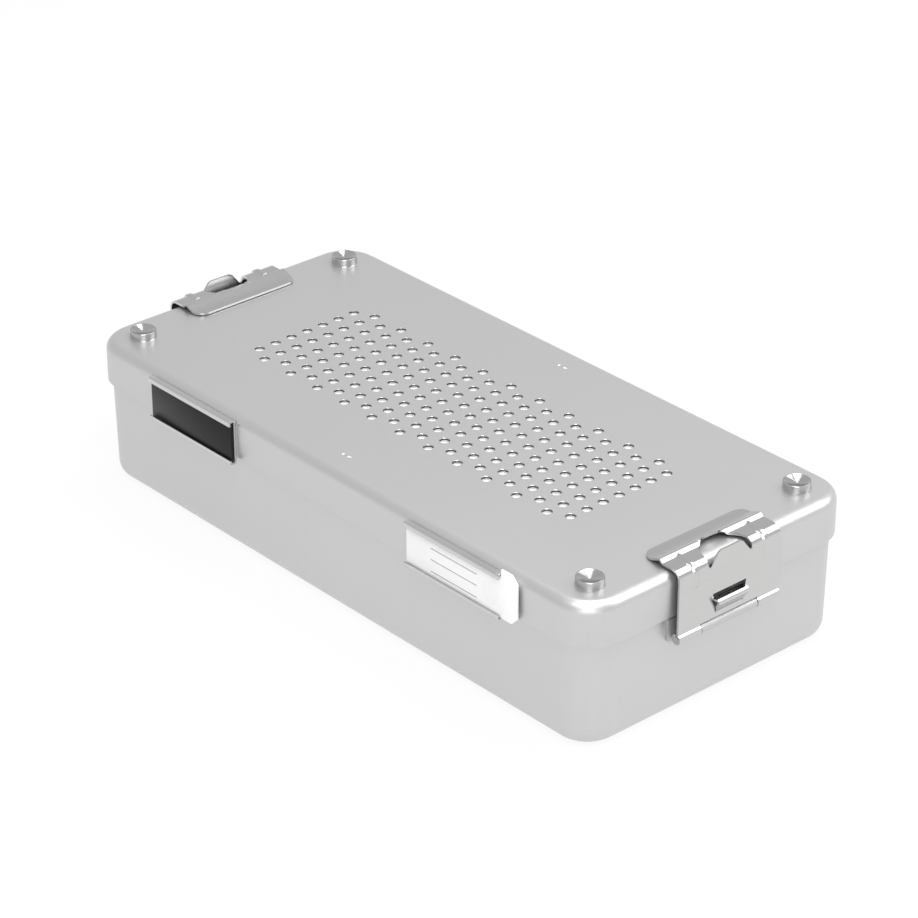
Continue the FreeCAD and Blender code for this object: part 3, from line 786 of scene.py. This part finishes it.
class Sheet:
    """Middle surface of bent sheet, from patches that are welded where they meet."""

    def __init__(self):
        self.index = {}
        self.places = []
        self.normals = []
        self.faces = []

    def weld(self, place, normal):
        key = tuple(math.floor(value * 100 + 0.37) for value in place)
        if key not in self.index:
            self.index[key] = len(self.places)
            self.places.append(place)
            self.normals.append(normal)
        return self.index[key]

    def patch(self, outline, holes, rows, columns, mapping):
        """Patch from a flat outline with holes. The rows and columns cross at its inner points."""
        loops = [outline] + holes
        flat = [point for loop in loops for point in loop]
        edges = []
        start = 0
        for loop in loops:
            count = len(loop)
            edges += [(start + step, start + (step + 1) % count) for step in range(count)]
            start += count
        grid = np.array([(u, v) for u in rows for v in columns])
        keep = is_inside(grid, outline) & (distance_to(grid, outline) > 0.14)
        for hole in holes:
            keep &= ~is_inside(grid, hole) & (distance_to(grid, hole) > 0.14)
        flat += [tuple(point) for point in grid[keep]]
        made = delaunay_2d_cdt([Vector(point) for point in flat], edges, [], 1, 1e-6)
        places = made[0]
        middles = np.array([
            [sum(places[corner][axis] for corner in face) / len(face) for axis in (0, 1)]
            for face in made[2]
        ])
        wanted = is_inside(middles, outline)
        for hole in holes:
            wanted &= ~is_inside(middles, hole)
        welded = [self.weld(*mapping(*place)) for place in places]
        for face, is_wanted in zip(made[2], wanted):
            corners = [welded[corner] for corner in face]
            if is_wanted and len(set(corners)) == len(corners):
                self.faces.append(self.facing_out(corners))

    def facing_out(self, corners):
        a, b, c = (self.places[corner] for corner in corners[:3])
        outward = (b - a).cross(c - a).dot(self.normals[corners[0]]) > 0
        return corners if outward else corners[::-1]

    def thicken(self, thickness):
        """Points and faces of the solid sheet, half its thickness to each side."""
        count = len(self.places)
        half = thickness / 2
        points = [place + normal * half for place, normal in zip(self.places, self.normals)]
        points += [place - normal * half for place, normal in zip(self.places, self.normals)]
        faces = [tuple(face) for face in self.faces]
        faces += [tuple(corner + count for corner in reversed(face)) for face in self.faces]
        sides = set()
        for face in self.faces:
            for a, b in zip(face, face[1:] + face[:1]):
                sides.add((a, b))
        for a, b in sorted(sides):
            if (b, a) not in sides:
                faces.append((b, a, a + count, b + count))
        return points, faces


def run(start, end, stops):
    """Points from start up to, but not including, end, with one at each stop between them."""
    (u0, v0), (u1, v1) = start, end
    along = 1 if abs(v1 - v0) > abs(u1 - u0) else 0
    low, high = sorted((start[along], end[along]))
    between = [stop for stop in stops if low + 0.05 < stop < high - 0.05]
    if start[along] > end[along]:
        between.reverse()
    points = [start]
    for stop in between:
        share = (stop - start[along]) / (end[along] - start[along])
        points.append((u0 + share * (u1 - u0), v0 + share * (v1 - v0)))
    return points


def loop_of(corners, rows, columns):
    """Closed outline through the corners, with a point at each row or column that it crosses."""
    points = []
    for start, end in zip(corners, corners[1:] + corners[:1]):
        stops = columns if abs(end[1] - start[1]) > abs(end[0] - start[0]) else rows
        points += run(start, end, stops)
    return points


def corner_arc(centre, radius, start, end, count):
    points = []
    for step in range(count + 1):
        angle = math.radians(start + (end - start) * step / count)
        points.append((centre[0] + radius * math.cos(angle), centre[1] + radius * math.sin(angle)))
    return points


def rib_lift(along, y):
    """Height of the two pressed ribs, which have round ends."""
    across = abs(y) - RIB_Y
    beyond = max(RIB_BOTTOM - along, along - RIB_TOP, 0)
    reach = math.hypot(across, beyond) / RIB_REACH
    if reach >= 1:
        return 0.0
    return RIB_HEIGHT * min(1.0, RIB_STEEPNESS * (1 - reach))


def latch_columns():
    half = [step * LATCH_HALF / 16 for step in range(1, 16)]
    half = [y for y in half if abs(y - RIB_Y) > 2.2]
    half += [RIB_Y + step * 0.25 for step in range(-8, 9)]
    half.sort()
    return [-y for y in reversed(half)] + [0.0] + half


def latch_sheet():
    """The right latch, closed."""
    sheet = Sheet()
    columns = latch_columns()
    foot = upper_part(sheet, columns)
    plate_part(sheet, columns, foot)
    loop_part(sheet, columns)
    knuckle_part(sheet, columns)
    return sheet.thicken(SHEET)


def upper_part(sheet, columns):
    """Lip, bead, flange and bend round the finger cut-out. Gives the cut-out's half width below."""
    samples = rounded_path(
        [
            (PLATE_X, BEND_BOTTOM), (PLATE_X, FLANGE_Z), (FLANGE_END, FLANGE_Z), (BEAD_X, BEAD_Z),
            (LIP_START, LIP_Z + 0.05), (LIP_DIP, LIP_Z - 0.03), (LIP_CREST, LIP_Z + 0.14),
            (LIP_END, LIP_Z),
        ],
        [BEND_RADIUS, 0.6, 0.8, 1.6, 0.8, 0.8],
        1,
    )
    at = on_path(samples)
    length = samples[-1][0]
    rows = lines_along(samples, 0.6)
    lengths = [sample[0] for sample in samples]
    depths = [-sample[1].x for sample in samples]

    def length_at(x):
        index = min(max(bisect.bisect_left(depths, -x), 1), len(depths) - 1)
        share = (-x - depths[index - 1]) / (depths[index] - depths[index - 1])
        return lengths[index - 1] + share * (lengths[index] - lengths[index - 1])

    def upper(along, y):
        place, normal = at(along)
        place = place + normal * rib_lift(along, y)
        return Vector((place.x, y, place.y)), Vector((normal.x, 0, normal.y))

    first_angle = math.degrees(math.acos((PLATE_X - CUTOUT_X) / CUTOUT_RADIUS))
    bite = []
    for x, y in corner_arc((CUTOUT_X, 0), CUTOUT_RADIUS, -first_angle, first_angle - 360, 84):
        bite.append((length_at(min(x, PLATE_X)), y))
    foot = bite[-1][1]
    outline = (
        run((0.0, foot), (0.0, LATCH_HALF), columns)
        + run((0.0, LATCH_HALF), (length - LIP_CORNER, LATCH_HALF), rows)
        + corner_arc((length - LIP_CORNER, LATCH_HALF - LIP_CORNER), LIP_CORNER, 90, 0, 10)[:-1]
        + run((length, LATCH_HALF - LIP_CORNER), (length, LIP_CORNER - LATCH_HALF), columns)
        + corner_arc((length - LIP_CORNER, LIP_CORNER - LATCH_HALF), LIP_CORNER, 0, -90, 10)[:-1]
        + run((length - LIP_CORNER, -LATCH_HALF), (0.0, -LATCH_HALF), rows)
        + run((0.0, -LATCH_HALF), (0.0, -foot), columns)
        + bite[:-1]
    )
    sheet.patch(outline, [], rows, columns, upper)
    return foot


def plate_part(sheet, columns, foot):
    """Plate with the tongue above it and the window of the seal loop."""

    def flat(z, y):
        lift = rib_lift(z - BEND_BOTTOM, y)
        return Vector((PLATE_X + lift, y, z)), Vector((1, 0, 0))

    low_rows = [PLATE_BOTTOM + step * 1.7 for step in range(1, 9)]
    high_rows = [BEND_BOTTOM - step * 0.4 for step in range(17)]
    plate_rows = sorted(low_rows + high_rows) + [BEND_BOTTOM + step * 1.1 for step in range(1, 5)]
    slope = (TONGUE_HALF_FOOT - TONGUE_HALF_TOP) / (TONGUE_TOP - BEND_BOTTOM)
    tongue = []
    for step in range(9):
        angle = step / 8 * QUARTER
        drop = TONGUE_ROUND * (1 - math.sin(angle))
        narrow = TONGUE_NARROWING * (1 - math.cos(angle))
        widening = slope * TONGUE_ROUND * (1 - step / 8)
        tongue.append((TONGUE_TOP - drop, TONGUE_HALF_TOP + widening - narrow))
    plate = (
        run((PLATE_BOTTOM, -LATCH_HALF), (PLATE_BOTTOM, -KNUCKLE_INNER), columns)
        + [(PLATE_BOTTOM, -KNUCKLE_INNER)]
        + run((PLATE_MIDDLE, -MIDDLE_INNER), (PLATE_MIDDLE, MIDDLE_INNER), columns)
        + [(PLATE_MIDDLE, MIDDLE_INNER)]
        + run((PLATE_BOTTOM, KNUCKLE_INNER), (PLATE_BOTTOM, LATCH_HALF), columns)
        + run((PLATE_BOTTOM, LATCH_HALF), (BEND_BOTTOM, LATCH_HALF), plate_rows)
        + run((BEND_BOTTOM, LATCH_HALF), (BEND_BOTTOM, foot), columns)
        + [(BEND_BOTTOM, foot)]
        + run((BEND_BOTTOM, TONGUE_HALF_FOOT), tongue[0], plate_rows)
        + tongue
        + [(z, -y) for z, y in reversed(tongue)]
        + run((BEND_BOTTOM, -TONGUE_HALF_FOOT), (BEND_BOTTOM, -foot), [])
        + run((BEND_BOTTOM, -foot), (BEND_BOTTOM, -LATCH_HALF), columns)
        + run((BEND_BOTTOM, -LATCH_HALF), (PLATE_BOTTOM, -LATCH_HALF), plate_rows)
    )
    window = (
        [(LOOP_ROOT, -WINDOW_HALF_ROOT)]
        + run((LOOP_ROOT, -LOOP_HALF_ROOT), (LOOP_ROOT, LOOP_HALF_ROOT), columns)
        + [(LOOP_ROOT, LOOP_HALF_ROOT)]
        + run((LOOP_ROOT, WINDOW_HALF_ROOT), (WINDOW_TOP, WINDOW_HALF_TOP), plate_rows)
        + run((WINDOW_TOP, WINDOW_HALF_TOP), (WINDOW_TOP, -WINDOW_HALF_TOP), columns)
        + run((WINDOW_TOP, -WINDOW_HALF_TOP), (LOOP_ROOT, -WINDOW_HALF_ROOT), plate_rows)
    )
    sheet.patch(plate, [window], plate_rows, columns, flat)


def loop_part(sheet, columns):
    """Seal loop that is lanced out of the plate."""
    samples = rounded_path(
        [
            (PLATE_X, LOOP_ROOT), (PLATE_X, LOOP_ROOT + 0.5), (LOOP_OUT, LOOP_LEVEL),
            (LOOP_BACK, LOOP_LEVEL),
        ],
        [1.2, 0.85],
        1,
    )
    length = samples[-1][0]
    rows = lines_along(samples, 0.8)
    root = LOOP_HALF_ROOT
    top = root + (WINDOW_HALF_TOP - WINDOW_HALF_ROOT) * LOOP_WIDENING
    outline = loop_of([(0.0, -root), (0.0, root), (length, top), (length, -top)], rows, columns)
    sheet.patch(outline, [], rows, columns, bent(samples))


def knuckle_part(sheet, columns):
    """Joggle and rolled knuckle on each side of the bracket's knuckle."""
    samples = rounded_path(
        [
            (PLATE_X, PLATE_BOTTOM), (PLATE_X, JOGGLE_TOP), (ROLL_OUT, JOGGLE_BOTTOM),
            (ROLL_OUT, ROLL_LOW), (ROLL_IN, ROLL_LOW), (ROLL_IN, ROLL_HIGH), (HINGE_X, ROLL_HIGH),
        ],
        [0.5, 0.5, ROLL_RADIUS, ROLL_RADIUS, ROLL_RADIUS],
        -1,
    )
    for low, high in ((-LATCH_HALF, -KNUCKLE_INNER), (KNUCKLE_INNER, LATCH_HALF)):
        rolled_part(sheet, samples, low, high, columns)


def rolled_part(sheet, samples, low, high, columns):
    """Band of sheet that follows the path, between two places across it."""
    length = samples[-1][0]
    rows = lines_along(samples, 1.0)
    outline = loop_of([(0.0, low), (0.0, high), (length, high), (length, low)], rows, columns)
    sheet.patch(outline, [], rows, columns, bent(samples))


def bracket_sheet():
    """Hinge bracket: a leaf on the tub's wall, rolled round the pin in the middle."""
    sheet = Sheet()
    columns = [step * 2.0 for step in range(-13, 14)]
    rows = [35.0 + step * 1.5 for step in range(6)]
    corner = BRACKET_CORNER
    high = BRACKET_TOP - corner
    wide = BRACKET_HALF - corner
    knuckle = BRACKET_KNUCKLE

    def leaf(z, y):
        return Vector((BRACKET_X, y, z)), Vector((1, 0, 0))

    outline = (
        run((HINGE_Z, -knuckle), (HINGE_Z, knuckle), columns)
        + [(HINGE_Z, knuckle), (HINGE_Z, BRACKET_NOTCH), (BRACKET_BOTTOM, BRACKET_NOTCH)]
        + corner_arc((BRACKET_BOTTOM + corner, wide), corner, 180, 90, 6)
        + corner_arc((high, wide), corner, 90, 0, 6)
        + corner_arc((high, -wide), corner, 0, -90, 6)
        + corner_arc((BRACKET_BOTTOM + corner, -wide), corner, -90, -180, 6)
        + [(BRACKET_BOTTOM, -BRACKET_NOTCH), (HINGE_Z, -BRACKET_NOTCH)]
    )
    sheet.patch(outline, [], rows, columns, leaf)
    samples = rounded_path(
        [
            (BRACKET_X, HINGE_Z), (BRACKET_X, ROLL_LOW), (ROLL_OUT, ROLL_LOW), (ROLL_OUT, ROLL_HIGH),
            (ROLL_IN, ROLL_HIGH), (ROLL_IN, HINGE_Z - 0.3),
        ],
        [0.8, ROLL_RADIUS, ROLL_RADIUS, ROLL_RADIUS],
        -1,
    )
    rolled_part(sheet, samples, -knuckle, knuckle, columns)
    return sheet.thicken(SHEET)


def both_ends(points, faces, name, bodies, look, node):
    """A piece made for the right end, and the same piece turned round for the left end."""
    turned_round = [Vector((-point[0], -point[1], point[2])) for point in points]
    for side, body, places in zip(("right", "left"), bodies, (points, turned_round)):
        replaced = [node + "_" + side] if node else []
        add_piece(name + "_" + side, places, faces, body, look, replaced)


def make_bracket_rivets(look):
    """Low domed heads that hold the bracket's leaf to the tub."""
    shape = Shape()
    back = BRACKET_X + SHEET / 2
    for y in (-RIVET_Y, RIVET_Y):
        rings = []
        for radius, out in ((2.1, 0.0), (2.05, 0.25), (1.75, 0.6), (1.2, 0.85), (0.5, 0.98)):
            flat = round_ring(0, 0, radius, back + out, RIVET_STEPS)
            rings.append(shape.ring([(out_x, y + side, RIVET_Z - down) for down, side, out_x in flat]))
        shape.path(rings)
        shape.cap(rings[0], False)
        shape.cap(rings[-1], True)
    both_ends(shape.points, shape.faces, "bracket_rivets", ("base", "base"), look, "")


def make_label_holder(centre, name, node, look):
    """Channel of thin sheet on the lid's skirt, open at its front and at both ends."""
    samples = rounded_path(
        [
            (HOLDER_FRONT, HOLDER_TOP_LIP_END), (HOLDER_FRONT, HOLDER_TOP), (HOLDER_BACK, HOLDER_TOP),
            (HOLDER_BACK, HOLDER_BOTTOM), (HOLDER_FRONT, HOLDER_BOTTOM),
            (HOLDER_FRONT, HOLDER_BOTTOM_LIP_END),
        ],
        [0.55, 0.45, 0.45, 0.55],
        1,
    )
    at = on_path(samples)
    rows = lines_along(samples, 2.0)
    length = samples[-1][0]
    sheet = Sheet()
    columns = [centre + step * HOLDER_HALF / 4 for step in range(-3, 4)]

    def channel(along, x):
        place, normal = at(along)
        return Vector((x, -LID_Y - place.x, place.y)), Vector((0, -normal.x, normal.y))

    low = centre - HOLDER_HALF
    high = centre + HOLDER_HALF
    outline = loop_of([(0.0, low), (0.0, high), (length, high), (length, low)], rows, columns)
    sheet.patch(outline, [], rows, columns, channel)
    points, faces = sheet.thicken(HOLDER_SHEET)
    piece = add_piece(name, points, faces, "lid", look, [node])
    ease_edges(piece, 0.12)


def make_flat_label(name, corners, body, look, node):
    """Thin label with eased edges, from its front outline."""
    points = [(x, y, z) for y in (LABEL_BACK, LABEL_FACE) for x, z in corners]
    count = len(corners)
    faces = [tuple(range(count, 2 * count)), tuple(reversed(range(count)))]
    for index in range(count):
        after = (index + 1) % count
        faces.append((index, after, after + count, index + count))
    piece = add_piece(name, points, faces, body, look, [node])
    ease_edges(piece, 0.14)


def make_weld_marks(look):
    """Small raised marks where the retainer's posts are welded under the lid."""
    shape = Shape()
    for y in (-POST_Y, POST_Y):
        for side, reach in ((-1, 2.6), (1, 3.4)):
            rows = []
            for step in range(WELD_STEPS + 1):
                share = step / WELD_STEPS
                x = side * (0.15 + reach * share)
                middle = y - 0.9 + 1.9 * abs(share - 0.45)
                width = 0.16 + 0.34 * math.sin(math.pi * min(1, share + 0.08))
                height = 0.02 + 0.32 * math.sin(math.pi * min(1, share * 0.9 + 0.1))
                rows.append([
                    (x, middle - width, LID_TOP), (x, middle - width / 2, LID_TOP + height * 0.8),
                    (x, middle, LID_TOP + height), (x, middle + width / 2, LID_TOP + height * 0.8),
                    (x, middle + width, LID_TOP),
                ])
            start = len(shape.points)
            for row in rows:
                shape.points += row
            for step in range(WELD_STEPS):
                for lane in range(4):
                    a = start + step * 5 + lane
                    face = (a, a + 5, a + 6, a + 1)
                    shape.faces.append(face if side > 0 else face[::-1])
                a = start + step * 5
                under = (a, a + 4, a + 9, a + 5)
                shape.faces.append(under if side > 0 else under[::-1])
            for first in (start, start + 5 * WELD_STEPS):
                end = tuple(range(first, first + 5))
                as_it_is = (first == start) == (side > 0)
                shape.faces.append(end if as_it_is else end[::-1])
    add_piece("weld_marks", shape.points, shape.faces, "lid", look, sharp=60)


def make_pieces(looks):
    make_lid(looks["anodised"], looks["painted_hole_shade"], looks["channel"])
    make_tub(looks["anodised"])
    make_studs(looks["turned"])
    points, faces = latch_sheet()
    both_ends(points, faces, "latch_sheet", ("latch_right", "latch_left"),
              looks["steel"], "latch")
    points, faces = bracket_sheet()
    both_ends(points, faces, "bracket", ("base", "base"), looks["brushed"],
              "latch_bracket")
    make_bracket_rivets(looks["steel"])
    make_label_holder(-HOLDER_X, "channel_left", "label_holder_left", looks["channel"])
    make_label_holder(HOLDER_X, "channel_right", "label_holder_right", looks["channel"])
    make_labels(looks)
    make_weld_marks(looks["anodised"])
    dress_solids(looks)


def make_labels(looks):
    """Plain dark plate, and white card with a taller head that is chamfered."""
    make_flat_label(
        "dark_plate",
        [
            (PLATE_FROM, LABEL_BOTTOM), (PLATE_TO, LABEL_BOTTOM), (PLATE_TO, LABEL_TOP),
            (PLATE_FROM, LABEL_TOP),
        ],
        "name_plate", looks["black"], "name_plate",
    )
    head_from, head_to, chamfer = CARD_HEAD_FROM, CARD_HEAD_TO, CARD_HEAD_CHAMFER
    make_flat_label(
        "white_card",
        [
            (CARD_FROM, LABEL_BOTTOM), (head_from, LABEL_BOTTOM), (head_from, CARD_HEAD_BOTTOM),
            (head_to - chamfer, CARD_HEAD_BOTTOM), (head_to, CARD_HEAD_BOTTOM + chamfer),
            (head_to, CARD_HEAD_TOP - chamfer), (head_to - chamfer, CARD_HEAD_TOP),
            (head_from, CARD_HEAD_TOP), (head_from, LABEL_TOP), (CARD_FROM, LABEL_TOP),
        ],
        "label_card", looks["card"], "label_card",
    )


def dress_solids(looks):
    """Materials of the solids that are shown as they are."""
    kept = {
        "hinge_pin": "steel", "retainer_clip": "satin", "retainer_post": "satin",
        "filter_retainer": "anodised", "lid_gasket": "silicone", "filter_sheet": "paper",
    }
    for name in nodes:
        for start, look in kept.items():
            if name.startswith(start):
                assign(name, looks[look])


# Room and lights


def background_node(tree, strength):
    """Light of the room. Rays that show it see white at the horizon and a little less above."""
    rays = tree.seen_rays()
    room = tree.add("ShaderNodeBackground")
    room.inputs["Color"].default_value = (1, 1, 1, 1)
    room.inputs["Strength"].default_value = strength
    white = tree.add("ShaderNodeBackground")
    direction = tree.add("ShaderNodeSeparateXYZ")
    tree.link(tree.add("ShaderNodeTexCoord").outputs["Generated"], direction.inputs[0])
    tree.link(tree.ramp(direction.outputs[2], 1.0, 0.85, 0.12, 0.42), white.inputs["Strength"])
    mix = tree.add("ShaderNodeMixShader")
    tree.link(rays, mix.inputs[0])
    tree.link(room.outputs[0], mix.inputs[1])
    tree.link(white.outputs[0], mix.inputs[2])
    return mix.outputs[0]


def light_room():
    world = bpy.data.worlds.new("room")
    bpy.context.scene.world = world
    world.use_nodes = True
    tree = Nodes(world.node_tree)
    output = tree.add("ShaderNodeOutputWorld")
    tree.link(background_node(tree, ROOM_STRENGTH), output.inputs["Surface"])


def area_light(name, place, size, power):
    data = bpy.data.lights.new(name, "AREA")
    data.shape = "RECTANGLE"
    data.size, data.size_y = size
    data.energy = power
    light = bpy.data.objects.new(name, data)
    light.location = place
    light.rotation_mode = "QUATERNION"
    light.rotation_quaternion = (Vector(AIM) - Vector(place)).to_track_quat("-Z", "Y")
    bpy.context.scene.collection.objects.link(light)


def make_floor():
    """Pale floor that shows white to the camera and in gloss, and keeps the object's shadow."""
    mesh = bpy.data.meshes.new("floor")
    half = FLOOR_HALF
    mesh.from_pydata(
        [(-half, -half, 0), (half, -half, 0), (half, half, 0), (-half, half, 0)], [], [(0, 1, 2, 3)]
    )
    floor = bpy.data.objects.new("floor", mesh)
    bpy.context.scene.collection.objects.link(floor)
    new, tree, shader = material("pale_floor")
    shader.inputs["Base Color"].default_value = (FLOOR_GREY, FLOOR_GREY, FLOOR_GREY, 1)
    shader.inputs["Roughness"].default_value = 0.9
    rays = tree.seen_rays()
    glow = tree.add("ShaderNodeEmission")
    glow.inputs["Color"].default_value = (1, 1, 1, 1)
    glow.inputs["Strength"].default_value = 1.0
    mix = tree.add("ShaderNodeMixShader")
    tree.link(tree.math("MULTIPLY", rays, FLOOR_GLOW), mix.inputs[0])
    tree.link(shader.outputs[0], mix.inputs[1])
    tree.link(glow.outputs[0], mix.inputs[2])
    output = next(n for n in tree.tree.nodes if n.type == "OUTPUT_MATERIAL")
    tree.link(mix.outputs[0], output.inputs["Surface"])
    mesh.materials.append(new)


place_camera()
bpy.context.scene.view_settings.view_transform = "Standard"
make_pieces(make_materials())
light_room()
make_floor()
for lamp in LAMPS:
    area_light(*lamp)
